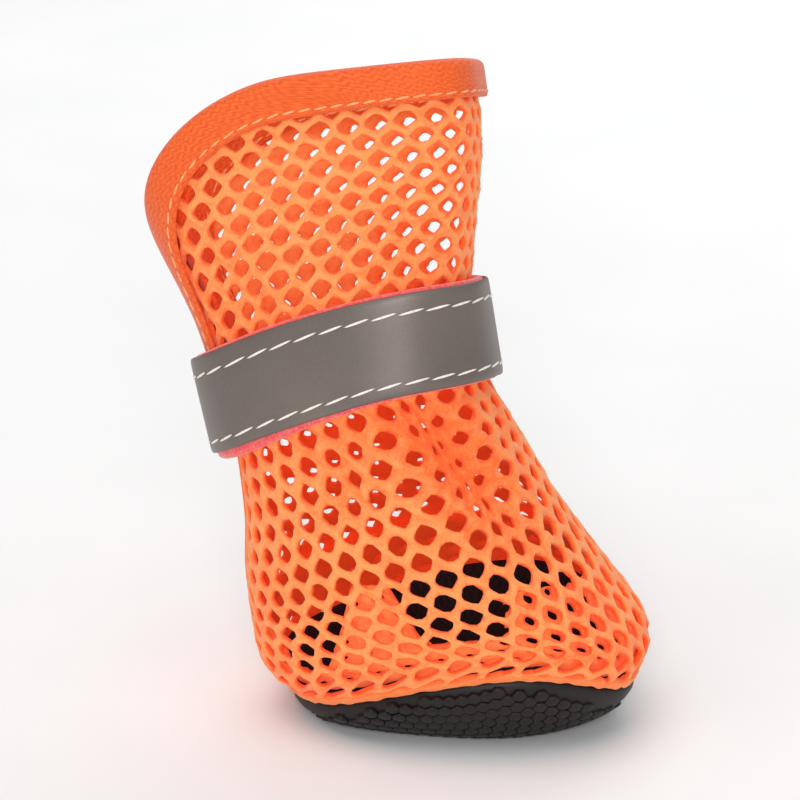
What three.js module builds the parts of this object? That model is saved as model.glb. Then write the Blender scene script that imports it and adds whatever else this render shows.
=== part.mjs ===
import * as THREE from "three";
import { mergeVertices } from "three/addons/utils/BufferGeometryUtils.js";

// A small boot for a paw, in mm: +X to the toe, +Y to its left, +Z up, the floor at z = 0.
const wall = 1.6;
const clear = 0.3;
const turns = 56;
const dishTurns = 44;
const crowding = 0.45;

// Sections of the upper's middle surface from the sole seam to the collar, each a tilted oval.
// t: place along the wall; x, y, z: centre; front, back, half: half lengths and half width;
// pitch, roll: rise along X and Y; lift: rise of both sides; bias: share of it moved forward; power: squareness.
const column = ["t", "x", "y", "z", "front", "back", "half", "pitch", "roll", "lift", "bias", "power"];
const section = {
  seam: [0, 0, 0, 6.3, 26.5, 26.5, 20, 0.065, 0, 5.8, 1, 2.2],
  bulge: [5, -1, 0, 10.4, 29.4, 29.5, 22.5, 0.09, 0, 5.4, 0.9, 2.2],
  foot: [13, -2, 0, 17, 25.6, 30.2, 22.5, 0.12, 0, 3.5, 0.6, 2.2],
  instep: [24, -5, 0, 26.9, 20.7, 28.3, 20.5, 0.2, 0, 2.5, 0.3, 2.1],
  throat: [36, -10, 0.5, 37.9, 18.2, 23.5, 17, 0.32, -0.12, 1.5, 0, 2.1],
  ankle: [52, -17.5, 1.5, 52.9, 17.5, 18.3, 13, 0.4, -0.3, 1.5, 0, 2.4],
  shin: [66, -20, 3, 66.9, 19.8, 20.2, 12, 0.34, -0.3, 1.5, 0, 2.9],
  flare: [84, -22, 5, 84.4, 22.5, 27, 11.5, 0.24, -0.3, 0.5, 0, 3.4],
  collar: [102, -22.5, 7, 100.9, 21, 29, 10.5, 0.16, -0.3, 0, 0, 3.6],
};

const collarEdge = 98.8;
const collarCorner = 32;
const slitFoot = 54;
const slitHalf = 1.8;
const slitSpread = 0.005;
const rowsBelowSlit = 11;
const rowsRoundSlit = 4;
const rowsBesideSlit = 5;

const tapeWidth = 6.2;
const tapeThick = 0.8;

const soleThick = 2.8;
const soleFlatSide = 0.5;
const soleFlatHeel = 0.2;
const soleFlatToe = 0.06;
const soleRise = 2;
const soleRings = [0.25, 0.5, 0.62, 0.74, 0.84, 0.93];
const rimDrop = 0.5;

const insoleThick = 1.2;
const insoleRings = [0.3, 0.55, 0.7, 0.82, 0.92];
const insoleEdge = 5.5;
const hemRoom = 2.6;

const strapLow = 46;
const strapHigh = 61.5;
const strapWidth = 16;
const backingThick = 1.2;
const faceThick = 0.5;
const faceMargin = 0.4;
const strapSteps = 64;
const strapStart = THREE.MathUtils.degToRad(115);
const strapSpan = THREE.MathUtils.degToRad(400);
const lapRamp = THREE.MathUtils.degToRad(34);
const slitRoom = 1.4;
const roomFrom = 0.45;
const roomTo = 0.8;

const rows = Object.values(section);

// Slope of one column at a row, from the rows on both sides.
function slopeAt(i, k) {
  const a = rows[Math.max(i - 1, 0)];
  const b = rows[Math.min(i + 1, rows.length - 1)];
  return (b[k] - a[k]) / (b[0] - a[0]);
}

// All columns at a place t along the wall, by a smooth curve through the rows.
function sizesAt(t) {
  let i = 0;
  while (i < rows.length - 2 && t > rows[i + 1][0]) i += 1;
  const step = rows[i + 1][0] - rows[i][0];
  const s = (t - rows[i][0]) / step;
  const sizes = {};
  column.forEach((name, k) => {
    const h0 = 2 * s ** 3 - 3 * s ** 2 + 1;
    const h1 = s ** 3 - 2 * s ** 2 + s;
    const h2 = 3 * s ** 2 - 2 * s ** 3;
    const h3 = s ** 3 - s ** 2;
    const ends = h0 * rows[i][k] + h2 * rows[i + 1][k];
    sizes[name] = ends + step * (h1 * slopeAt(i, k) + h3 * slopeAt(i + 1, k));
  });
  return sizes;
}

// Point of the upper's middle surface; turn 0 is the toe, a quarter the left side, a half the heel.
function middle(turn, t) {
  const g = sizesAt(t);
  const c = Math.cos(turn);
  const s = Math.sin(turn);
  const x = (c > 0 ? g.front : g.back) * Math.sign(c) * Math.abs(c) ** (2 / g.power);
  const y = g.half * Math.sign(s) * Math.abs(s) ** (2 / g.power);
  const lift = g.lift * s * s * (1 + g.bias * c);
  return new THREE.Vector3(g.x + x, g.y + y, g.z + g.pitch * x + g.roll * y + lift);
}

function outward(turn, t) {
  const around = middle(turn + 0.02, t).sub(middle(turn - 0.02, t));
  const along = middle(turn, t + 0.2).sub(middle(turn, t - 0.2));
  return around.cross(along).normalize();
}

// Point of the wall at a distance outside the middle surface.
function wallPoint(turn, t, offset) {
  return middle(turn, t).addScaledVector(outward(turn, t), offset);
}

function geometryOf(faces) {
  const flat = faces.flatMap((p) => [p.x, p.y, p.z]);
  const loose = new THREE.BufferGeometry();
  loose.setAttribute("position", new THREE.Float32BufferAttribute(flat, 3));
  const joined = mergeVertices(loose, 1e-3);
  const kept = [];
  const index = joined.index.array;
  for (let i = 0; i < index.length; i += 3) {
    const [a, b, c] = [index[i], index[i + 1], index[i + 2]];
    if (a !== b && b !== c && a !== c) kept.push(a, b, c);
  }
  joined.setIndex(kept);
  return joined;
}

function addQuad(faces, a, b, c, d) {
  faces.push(a, b, c, a, c, d);
}

// Half width of the back slit at a place along the wall, for an edge moved out by a margin: its foot is round.
function slitAt(t, margin) {
  const above = Math.max(t - slitFoot - margin, 0);
  const radius = slitHalf - margin;
  const inset = Math.max(radius - above, 0);
  return Math.sqrt(radius ** 2 - inset ** 2) + slitSpread * above;
}

// Top of the wall at a distance from the slit edge: the flap's back corner is rounded.
function topAt(fromSlit, margin) {
  const radius = collarCorner + margin;
  const inset = Math.max(radius - fromSlit, 0);
  return collarEdge + margin - radius + Math.sqrt(radius ** 2 - inset ** 2);
}

const roundRow = rowsBelowSlit + rowsRoundSlit;
const lastRow = roundRow + rowsBesideSlit;

// Grid lines stand closer together at the back, where the flaps turn.
function share(i) {
  return i / turns - (crowding * Math.sin((2 * Math.PI * i) / turns)) / (2 * Math.PI);
}

// Turn of the slit edge: its half width is laid along the wall from the heel line.
function slitTurn(t, margin) {
  const step = 0.02;
  let left = slitAt(t, margin);
  let turn = Math.PI;
  let part = middle(turn, t).distanceTo(middle(turn - step, t));
  while (left > part) {
    left -= part;
    turn -= step;
    part = middle(turn, t).distanceTo(middle(turn - step, t));
  }
  return turn - (step * left) / part;
}

// Distance along the collar from the slit edge to a grid line.
function fromSlit(i, margin) {
  const edge = slitTurn(collarEdge - collarCorner, margin);
  const near = Math.abs(edge * (2 * share(i) - 1));
  const steps = 12;
  const at = (k) => middle(near + ((edge - near) * k) / steps, collarEdge - 6);
  let sum = 0;
  for (let k = 0; k < steps; k += 1) sum += at(k).distanceTo(at(k + 1));
  return sum;
}

// Turn and place along the wall of a grid point, for collar and slit edges moved out by a margin.
function place(i, j, margin) {
  const foot = slitFoot + margin;
  const quarter = (Math.PI / 2) * THREE.MathUtils.clamp((j - rowsBelowSlit) / rowsRoundSlit, 0, 1);
  const low = (foot * Math.min(j, rowsBelowSlit)) / rowsBelowSlit + (slitHalf - margin) * (1 - Math.cos(quarter));
  const up = Math.max((j - roundRow) / rowsBesideSlit, 0);
  const t = low + (topAt(fromSlit(i, margin), margin) - low) * up;
  return [slitTurn(t, margin) * (2 * share(i) - 1), t];
}

function upper() {
  const grid = [];
  for (let i = 0; i <= turns; i += 1) {
    const line = [];
    for (let j = 0; j <= lastRow; j += 1) {
      const [turn, t] = place(i, j, 0);
      line.push([wallPoint(turn, t, wall / 2), wallPoint(turn, t, -wall / 2)]);
    }
    grid.push(line);
  }
  const faces = [];
  for (let i = 0; i < turns; i += 1) {
    for (let j = 0; j < lastRow; j += 1) {
      const [a, b, c, d] = [grid[i][j], grid[i + 1][j], grid[i + 1][j + 1], grid[i][j + 1]];
      addQuad(faces, a[0], b[0], c[0], d[0]);
      addQuad(faces, d[1], c[1], b[1], a[1]);
    }
    const [a, b] = [grid[i][0], grid[i + 1][0]];
    addQuad(faces, a[1], b[1], b[0], a[0]);
    const [c, d] = [grid[i][lastRow], grid[i + 1][lastRow]];
    addQuad(faces, c[0], d[0], d[1], c[1]);
  }
  for (let j = rowsBelowSlit; j < lastRow; j += 1) {
    const [a, b] = [grid[0][j], grid[0][j + 1]];
    addQuad(faces, a[1], a[0], b[0], b[1]);
    const [c, d] = [grid[turns][j], grid[turns][j + 1]];
    addQuad(faces, c[0], c[1], d[1], d[0]);
  }
  return geometryOf(faces);
}

// Points along the slit and collar edges: up one flap, round the collar and down the other flap.
function edgePath() {
  const path = [];
  for (let j = rowsBelowSlit; j < lastRow; j += 1) path.push([0, j]);
  for (let i = 0; i <= turns; i += 1) path.push([i, lastRow]);
  for (let j = lastRow - 1; j > rowsBelowSlit; j -= 1) path.push([turns, j]);
  return path;
}

// The tape is folded over the edge: its outline goes down one side of the wall and back up inside.
function collarBinding() {
  const inside = wall / 2 + clear;
  const outside = inside + tapeThick;
  const fold = clear + tapeThick;
  const across = [-tapeWidth, (-2 * tapeWidth) / 3, -tapeWidth / 3];
  const back = [...across].reverse();
  const outline = [
    ...across.map((margin) => [margin, outside]),
    [fold / 2, outside],
    [fold, inside],
    [fold, -inside],
    [fold / 2, -outside],
    ...back.map((margin) => [margin, -outside]),
    ...across.map((margin) => [margin, -inside]),
    [clear, -inside],
    [clear, inside],
    ...back.map((margin) => [margin, inside]),
  ];
  const rings = edgePath().map(([i, j]) =>
    outline.map(([margin, offset]) => wallPoint(...place(i, j, margin), offset)),
  );
  const faces = [];
  rings.forEach((ring, k) => {
    const next = rings[(k + 1) % rings.length];
    ring.forEach((p, m) => {
      const n = (m + 1) % ring.length;
      addQuad(faces, p, next[m], next[n], ring[n]);
    });
  });
  return geometryOf(faces);
}

// Middle sheet of the outsole; ring runs from 0 at the centre to 1 at the rim under the seam.
function soleMiddle(turn, ring) {
  const seam = middle(turn, 0);
  const flatEnd = Math.cos(turn) > 0 ? soleFlatToe : soleFlatHeel;
  const flat = soleFlatSide + flatEnd * Math.cos(turn) ** 2;
  const steep = (soleRise * (seam.z - soleThick)) / ((1 - flat) * Math.hypot(seam.x, seam.y));
  const drop = rimDrop + soleThick / 2 / Math.hypot(1, steep);
  const rise = Math.max((ring - flat) / (1 - flat), 0) ** soleRise;
  const z = soleThick / 2 + (seam.z - drop - soleThick / 2) * rise;
  return new THREE.Vector3(seam.x * ring, seam.y * ring, z);
}

function soleUp(turn, ring) {
  const around = soleMiddle(turn + 0.02, ring).sub(soleMiddle(turn - 0.02, ring));
  const along = soleMiddle(turn, ring).sub(soleMiddle(turn, ring - 0.02));
  return along.cross(around).normalize();
}

function solePoint(turn, ring, offset) {
  return soleMiddle(turn, ring).addScaledVector(soleUp(turn, ring), offset);
}

// A dished sheet from rings of lower and upper points, closed at its middle and rim.
function dish(rings, low, high) {
  const faces = [];
  const at = (k, i) => rings[k]((2 * Math.PI * i) / dishTurns);
  for (let i = 0; i < dishTurns; i += 1) {
    const [a, b] = [at(0, i), at(0, i + 1)];
    faces.push(b[0], a[0], low);
    faces.push(a[1], b[1], high);
    for (let k = 0; k < rings.length - 1; k += 1) {
      const [p, q, r, s] = [at(k, i), at(k, i + 1), at(k + 1, i + 1), at(k + 1, i)];
      addQuad(faces, p[0], q[0], r[0], s[0]);
      addQuad(faces, s[1], r[1], q[1], p[1]);
    }
    const [c, d] = [at(rings.length - 1, i), at(rings.length - 1, i + 1)];
    addQuad(faces, c[0], d[0], d[1], c[1]);
  }
  return geometryOf(faces);
}

function outsole() {
  const half = soleThick / 2;
  const rings = soleRings.map((r) => (turn) => [solePoint(turn, r, -half), solePoint(turn, r, half)]);
  rings.push((turn) => [wallPoint(turn, -rimDrop, half), wallPoint(turn, -rimDrop, -half)]);
  return dish(rings, new THREE.Vector3(0, 0, 0), new THREE.Vector3(0, 0, soleThick));
}

function insole() {
  const low = soleThick / 2 + clear;
  const high = low + insoleThick;
  const rings = insoleRings.map((r) => (turn) => [solePoint(turn, r, low), solePoint(turn, r, high)]);
  const inner = -hemRoom - insoleThick;
  rings.push((turn) => [wallPoint(turn, insoleEdge, -hemRoom), wallPoint(turn, insoleEdge, inner)]);
  const floor = soleThick + clear;
  return dish(rings, new THREE.Vector3(0, 0, floor), new THREE.Vector3(0, 0, floor + insoleThick));
}

// Frame of the strap at a place along its length: its centre line, the way up it and the way out of it.
function strapFrame(along) {
  const turn = strapStart - along;
  const atBack = THREE.MathUtils.smoothstep(-Math.cos(turn), roomFrom, roomTo);
  const lap = THREE.MathUtils.smoothstep(along, 2 * Math.PI - lapRamp, 2 * Math.PI - 0.04);
  const off = wall / 2 + clear + slitRoom * atBack + lap * (backingThick + faceThick + 2 * clear);
  const low = wallPoint(turn, strapLow, off);
  const high = wallPoint(turn, strapHigh, off);
  const up = high.clone().sub(low).normalize();
  const centre = low.add(high).multiplyScalar(0.5);
  const around = middle(turn + 0.02, 54).sub(middle(turn - 0.02, 54));
  const out = around.cross(up).normalize();
  return { centre, up, out };
}

// A band of the strap between two distances from its inner side.
function band(width, inner, outer) {
  const corner = (frame, side, off) =>
    frame.centre.clone().addScaledVector(frame.up, (side * width) / 2).addScaledVector(frame.out, off);
  const ring = [];
  for (let k = 0; k <= strapSteps; k += 1) {
    const frame = strapFrame((strapSpan * k) / strapSteps);
    ring.push([corner(frame, -1, inner), corner(frame, 1, inner), corner(frame, 1, outer), corner(frame, -1, outer)]);
  }
  const faces = [];
  for (let k = 0; k < strapSteps; k += 1) {
    for (let m = 0; m < 4; m += 1) {
      const n = (m + 1) % 4;
      addQuad(faces, ring[k][n], ring[k][m], ring[k + 1][m], ring[k + 1][n]);
    }
  }
  addQuad(faces, ring[0][0], ring[0][1], ring[0][2], ring[0][3]);
  addQuad(faces, ring[strapSteps][3], ring[strapSteps][2], ring[strapSteps][1], ring[strapSteps][0]);
  return geometryOf(faces);
}

const boot = new THREE.Group();
boot.name = "dog_boot";

function addPiece(name, geometry, color, roughness) {
  const material = new THREE.MeshStandardMaterial({ color, roughness, metalness: 0 });
  const mesh = new THREE.Mesh(geometry, material);
  mesh.name = name;
  boot.add(mesh);
}

addPiece("outsole", outsole(), 0x232020, 0.6);
addPiece("insole", insole(), 0x1a1818, 0.9);
addPiece("upper", upper(), 0xff823c, 0.9);
addPiece("collar_binding", collarBinding(), 0xfa6e28, 0.85);
addPiece("strap_backing", band(strapWidth, 0, backingThick), 0xff6e6e, 0.95);
const faceStart = backingThick + clear;
addPiece("strap_face", band(strapWidth - 2 * faceMargin, faceStart, faceStart + faceThick), 0x7d736c, 0.5);

export default boot;
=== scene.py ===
import math
import bpy
import numpy as np
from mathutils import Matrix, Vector


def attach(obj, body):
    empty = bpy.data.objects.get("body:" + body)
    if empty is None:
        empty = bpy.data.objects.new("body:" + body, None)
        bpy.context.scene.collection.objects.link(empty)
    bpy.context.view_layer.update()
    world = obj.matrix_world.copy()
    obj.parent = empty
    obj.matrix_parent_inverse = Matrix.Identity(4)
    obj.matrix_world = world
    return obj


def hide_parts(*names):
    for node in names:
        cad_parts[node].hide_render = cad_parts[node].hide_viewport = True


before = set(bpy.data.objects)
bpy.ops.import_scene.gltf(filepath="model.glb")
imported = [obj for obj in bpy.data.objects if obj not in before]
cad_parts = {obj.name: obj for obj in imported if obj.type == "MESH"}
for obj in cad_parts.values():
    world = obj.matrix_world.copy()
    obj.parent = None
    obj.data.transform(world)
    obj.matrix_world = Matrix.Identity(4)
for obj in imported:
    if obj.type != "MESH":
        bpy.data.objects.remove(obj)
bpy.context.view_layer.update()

# The boot's own form, in mm, repeated from the solids: +X to the toe, +Y to its left, +Z up.
boot = {
    "wall": 1.6,
    "clear": 0.3,
    "collarEdge": 98.8,
    "collarCorner": 32,
    "slitFoot": 54,
    "slitHalf": 1.8,
    "slitSpread": 0.005,
    "cornerMeasuredBelow": 6,
}
sectionColumns = ("t", "x", "y", "z", "front", "back", "half", "pitch", "roll", "lift", "bias", "power")
sections = {
    "seam": (0, 0, 0, 6.3, 26.5, 26.5, 20, 0.065, 0, 5.8, 1, 2.2),
    "bulge": (5, -1, 0, 10.4, 29.4, 29.5, 22.5, 0.09, 0, 5.4, 0.9, 2.2),
    "foot": (13, -2, 0, 17, 25.6, 30.2, 22.5, 0.12, 0, 3.5, 0.6, 2.2),
    "instep": (24, -5, 0, 26.9, 20.7, 28.3, 20.5, 0.2, 0, 2.5, 0.3, 2.1),
    "throat": (36, -10, 0.5, 37.9, 18.2, 23.5, 17, 0.32, -0.12, 1.5, 0, 2.1),
    "ankle": (52, -17.5, 1.5, 52.9, 17.5, 18.3, 13, 0.4, -0.3, 1.5, 0, 2.4),
    "shin": (66, -20, 3, 66.9, 19.8, 20.2, 12, 0.34, -0.3, 1.5, 0, 2.9),
    "flare": (84, -22, 5, 84.4, 22.5, 27, 11.5, 0.24, -0.3, 0.5, 0, 3.4),
    "collar": (102, -22.5, 7, 100.9, 21, 29, 10.5, 0.16, -0.3, 0, 0, 3.6),
}
sectionRows = np.array(list(sections.values()), float)
rowBefore = sectionRows[np.maximum(np.arange(len(sectionRows)) - 1, 0)]
rowAfter = sectionRows[np.minimum(np.arange(len(sectionRows)) + 1, len(sectionRows) - 1)]
sectionSlopes = (rowAfter - rowBefore) / (rowAfter[:, :1] - rowBefore[:, :1])


def sizesAt(t):
    t = np.asarray(t, float)
    i = np.searchsorted(sectionRows[1:-1, 0], t)
    step = (sectionRows[i + 1, 0] - sectionRows[i, 0])[..., None]
    s = (t - sectionRows[i, 0])[..., None] / step
    ends = (2 * s**3 - 3 * s**2 + 1) * sectionRows[i] + (3 * s**2 - 2 * s**3) * sectionRows[i + 1]
    bends = (s**3 - 2 * s**2 + s) * sectionSlopes[i] + (s**3 - s**2) * sectionSlopes[i + 1]
    return dict(zip(sectionColumns, np.moveaxis(ends + step * bends, -1, 0)))


# a point of the upper's middle surface: turn 0 is the toe, a quarter the left side, a half the heel
def middlePoint(turn, t):
    turn, t = np.broadcast_arrays(np.asarray(turn, float), np.asarray(t, float))
    g = sizesAt(t)
    c, s = np.cos(turn), np.sin(turn)
    x = np.where(c > 0, g["front"], g["back"]) * np.sign(c) * np.abs(c) ** (2 / g["power"])
    y = g["half"] * np.sign(s) * np.abs(s) ** (2 / g["power"])
    lift = g["lift"] * s * s * (1 + g["bias"] * c)
    return np.stack([g["x"] + x, g["y"] + y, g["z"] + g["pitch"] * x + g["roll"] * y + lift], -1)


def unit(v):
    return v / np.maximum(np.linalg.norm(v, axis=-1, keepdims=True), 1e-9)


# small steps of turn, of place along the wall and of ring on the sole, to take directions from
probe = {"turn": 0.02, "t": 0.2, "ring": 0.02}


def outward(turn, t):
    around = middlePoint(turn + probe["turn"], t) - middlePoint(turn - probe["turn"], t)
    along = middlePoint(turn, t + probe["t"]) - middlePoint(turn, t - probe["t"])
    return unit(np.cross(around, along))


def wallPoint(turn, t, offset):
    turn, t, offset = np.broadcast_arrays(*(np.asarray(a, float) for a in (turn, t, offset)))
    return middlePoint(turn, t) + outward(turn, t) * offset[..., None]


def smoothStep(x, low, high):
    s = np.clip((x - low) / (high - low), 0, 1)
    return s * s * (3 - 2 * s)


# lengths round the wall from the toe line, read both ways: turn to length and length to turn
arcStep = {"t": 1.0, "turn": math.pi / 240, "length": 0.5}
arcSpan = {"t": (-5, 109), "turns": 242, "length": 100}
arcT = np.arange(*arcSpan["t"], arcStep["t"])
arcTurn = np.arange(arcSpan["turns"]) * arcStep["turn"]
arcLength = np.arange(0, arcSpan["length"], arcStep["length"])
arcsBySide = {}
turnsBySide = {}
for side in (-1, 1):
    ring = middlePoint(side * arcTurn[None, :], arcT[:, None])
    steps = np.linalg.norm(np.diff(ring, axis=1), axis=2)
    arcs = np.concatenate([np.zeros((len(arcT), 1)), np.cumsum(steps, 1)], 1)
    arcsBySide[side] = arcs
    turnsBySide[side] = np.array([np.interp(arcLength, row, arcTurn) for row in arcs])


def readTable(table, row, column):
    row = np.clip(row, 0, table.shape[0] - 1.001)
    column = np.clip(column, 0, table.shape[1] - 1.001)
    i, j = row.astype(int), column.astype(int)
    a, b = row - i, column - j
    low = table[i, j] * (1 - b) + table[i, j + 1] * b
    high = table[i + 1, j] * (1 - b) + table[i + 1, j + 1] * b
    return low * (1 - a) + high * a


def turnAt(length, t):
    length, t = np.broadcast_arrays(np.asarray(length, float), np.asarray(t, float))
    row = (t - arcT[0]) / arcStep["t"]
    column = np.abs(length) / arcStep["length"]
    left = readTable(turnsBySide[1], row, column)
    right = readTable(turnsBySide[-1], row, column)
    return np.where(length > 0, left, -right)


def lengthAt(turn, t):
    turn, t = np.broadcast_arrays(np.asarray(turn, float), np.asarray(t, float))
    row = (t - arcT[0]) / arcStep["t"]
    column = np.abs(turn) / arcStep["turn"]
    left = readTable(arcsBySide[1], row, column)
    right = readTable(arcsBySide[-1], row, column)
    return np.where(turn > 0, left, -right)


# half width of the back slit, and the top of the wall, for edges moved out by a margin
def slitAt(t, margin):
    above = np.maximum(t - boot["slitFoot"] - margin, 0)
    radius = boot["slitHalf"] - margin
    inset = np.maximum(radius - above, 0)
    return np.sqrt(radius**2 - inset**2) + boot["slitSpread"] * above


def slitTurn(t, margin):
    return turnAt(lengthAt(math.pi, t) - slitAt(t, margin), t)


def topAt(turn, margin):
    edge = slitTurn(boot["collarEdge"] - boot["collarCorner"], margin)
    near = np.minimum(np.abs(turn), edge)
    measured = boot["collarEdge"] - boot["cornerMeasuredBelow"]
    fromSlit = lengthAt(edge, measured) - lengthAt(near, measured)
    radius = boot["collarCorner"] + margin
    inset = np.maximum(radius - fromSlit, 0)
    return boot["collarEdge"] + margin - radius + np.sqrt(radius**2 - inset**2)


print("stage: form of the boot")


# Work on meshes, as by hand
def selectOnly(piece):
    bpy.ops.object.select_all(action="DESELECT")
    piece.select_set(True)
    bpy.context.view_layer.objects.active = piece


def editMesh(piece, *steps):
    selectOnly(piece)
    bpy.ops.object.mode_set(mode="EDIT")
    for step in steps:
        step()
    bpy.ops.object.mode_set(mode="OBJECT")


def selectAllMesh():
    bpy.ops.mesh.select_all(action="SELECT")


def deleteFaces(piece, mask):
    editMesh(
        piece,
        lambda: bpy.ops.mesh.select_mode(type="FACE"),
        lambda: bpy.ops.mesh.select_all(action="DESELECT"),
    )
    piece.data.polygons.foreach_set("select", mask)
    editMesh(piece, lambda: bpy.ops.mesh.delete(type="FACE"))


def mergePoints(piece, distance):
    editMesh(piece, selectAllMesh, lambda: bpy.ops.mesh.remove_doubles(threshold=distance))


def applyModifier(piece, kind, **settings):
    selectOnly(piece)
    modifier = piece.modifiers.new(kind.title(), kind)
    for name, value in settings.items():
        setattr(modifier, name, value)
    bpy.ops.object.modifier_apply(modifier=modifier.name)


def smoothPiece(piece, levels):
    if levels:
        applyModifier(piece, "SUBSURF", levels=levels, render_levels=levels)
    selectOnly(piece)
    bpy.ops.object.shade_smooth()


def readPoints(piece):
    flat = np.zeros(len(piece.data.vertices) * 3)
    piece.data.vertices.foreach_get("co", flat)
    return flat.reshape(-1, 3)


def movePoints(piece, points):
    piece.data.vertices.foreach_set("co", np.ascontiguousarray(points, float).ravel())
    piece.data.update()


# a flat grid laid over a table of points in mm, with its UV in mm along and across
def clothGrid(name, points, along, across, closed=False, flipped=False):
    columns, lines = points.shape[:2]
    bpy.ops.object.select_all(action="DESELECT")
    bpy.ops.mesh.primitive_grid_add(x_subdivisions=columns - 1, y_subdivisions=lines - 1, size=2)
    piece = bpy.context.object
    piece.name = name
    flat = readPoints(piece)
    i = np.rint((flat[:, 0] + 1) / 2 * (columns - 1)).astype(int)
    j = np.rint((flat[:, 1] + 1) / 2 * (lines - 1)).astype(int)
    movePoints(piece, points[i, j] / 1000)
    corner = np.zeros(len(piece.data.loops), int)
    piece.data.loops.foreach_get("vertex_index", corner)
    uv = np.stack([along[i[corner]], across[j[corner]]], -1)
    piece.data.uv_layers[0].data.foreach_set("uv", uv.ravel())
    if flipped:
        editMesh(piece, selectAllMesh, bpy.ops.mesh.flip_normals)
    if closed:
        mergePoints(piece, 1e-6)
    return piece


# one small shape copied to many places, as one mesh: each place has an origin and three axes, in mm
def copyToPlaces(name, pattern, origins, axes):
    points = readPoints(pattern)
    faces = [list(face.vertices) for face in pattern.data.polygons]
    placed = origins[:, None, :] + np.einsum("pk,nkc->npc", points, axes)
    starts = np.arange(len(origins)) * len(points)
    mesh = bpy.data.meshes.new(name)
    allFaces = [[start + k for k in face] for start in starts for face in faces]
    mesh.from_pydata((placed.reshape(-1, 3) / 1000).tolist(), [], allFaces)
    piece = bpy.data.objects.new(name, mesh)
    bpy.context.scene.collection.objects.link(piece)
    bpy.data.objects.remove(pattern)
    smoothPiece(piece, 0)
    return piece


def dress(piece, material, slot, *nodes):
    piece.data.materials.clear()
    piece.data.materials.append(material)
    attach(piece, "root")
    if nodes:
        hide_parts(*nodes)


# Materials
def linear(hexColour):
    parts = [int(hexColour[k : k + 2], 16) / 255 for k in (1, 3, 5)]
    return (*(p / 12.92 if p <= 0.04045 else ((p + 0.055) / 1.055) ** 2.4 for p in parts), 1)


def perMetre(sizeMm):
    return 1000 / sizeMm


def addNode(material, kind, settings, inputs):
    node = material.node_tree.nodes.new(kind)
    for name, value in settings.items():
        setattr(node, name, value)
    for socket, value in inputs.items():
        if isinstance(value, bpy.types.NodeSocket):
            material.node_tree.links.new(value, node.inputs[socket])
        else:
            node.inputs[socket].default_value = value
    return node


def newMaterial(name, **sockets):
    material = bpy.data.materials.new(name)
    material.use_nodes = True
    shader = material.node_tree.nodes["Principled BSDF"]
    for socket, value in sockets.items():
        shader.inputs[socket.replace("_", " ")].default_value = value
    return material, shader


def colourRange(material, factor, *stops):
    ramp = addNode(material, "ShaderNodeValToRGB", {}, {"Fac": factor})
    while len(ramp.color_ramp.elements) < len(stops):
        ramp.color_ramp.elements.new(0.5)
    for element, (place, hexColour) in zip(ramp.color_ramp.elements, stops):
        element.position = place
        element.color = linear(hexColour)
    return ramp.outputs["Color"]


# polyester net yarn, warp knitted: matt and fuzzy, light passes into it; a faint emission in its orange is
# a painted glow, and its colour runs from painted shade to painted light by the proud attribute
def netYarn():
    look = {
        "grain": 0.45,
        "patch": 9,
        "patchShare": 0.5,
        "unevenShare": 0.4,
        "unevenBase": -0.3,
        "paintedLightShare": 0.8,
        # deepShade, side and top: painted shade on sunken and inward faces, the flanks between, painted
        # light on the strand tops
        "deepShade": (0.2, "#FF5A1E"),
        "side": (0.45, "#FF6826"),
        "top": (0.85, "#FBA05C"),
        "paintedGlow": "#FF5A1C",
        "relief": 0.2,
    }
    material, shader = newMaterial(
        "polyester_net_yarn",
        Roughness=0.82,
        Sheen_Weight=0.15,
        Sheen_Roughness=0.5,
        Subsurface_Weight=0.5,
        Subsurface_Scale=0.002,
        # painted glow: the yarn gives off a little light of its own
        Emission_Color=linear(look["paintedGlow"]),
        Emission_Strength=0.13,
    )
    shader.inputs["Subsurface Radius"].default_value = (1, 0.32, 0.08)
    place = addNode(material, "ShaderNodeTexCoord", {}, {}).outputs["Object"]
    grain = addNode(
        material, "ShaderNodeTexNoise", {},
        {"Vector": place, "Scale": perMetre(look["grain"]), "Detail": 3},
    )
    patch = addNode(
        material, "ShaderNodeTexNoise", {},
        {"Vector": place, "Scale": perMetre(look["patch"]), "Detail": 2},
    )
    # proud carries the painted light and shade worked out for each point of the net
    proud = addNode(material, "ShaderNodeAttribute", {"attribute_name": "proud"}, {})
    mixed = addNode(
        material, "ShaderNodeMath", {"operation": "MULTIPLY_ADD"},
        {0: patch.outputs["Fac"], 1: look["patchShare"], 2: grain.outputs["Fac"]},
    )
    uneven = addNode(
        material, "ShaderNodeMath", {"operation": "MULTIPLY_ADD"},
        {0: mixed.outputs[0], 1: look["unevenShare"], 2: look["unevenBase"]},
    )
    both = addNode(
        material, "ShaderNodeMath", {"operation": "MULTIPLY_ADD"},
        {0: proud.outputs["Fac"], 1: look["paintedLightShare"], 2: uneven.outputs[0]},
    )
    shade = colourRange(material, both.outputs[0], look["deepShade"], look["side"], look["top"])
    bump = addNode(
        material, "ShaderNodeBump", {},
        {"Height": grain.outputs["Fac"], "Strength": 0.6, "Distance": look["relief"] / 1000},
    )
    material.node_tree.links.new(shade, shader.inputs["Base Color"])
    material.node_tree.links.new(bump.outputs["Normal"], shader.inputs["Normal"])
    return material


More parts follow.
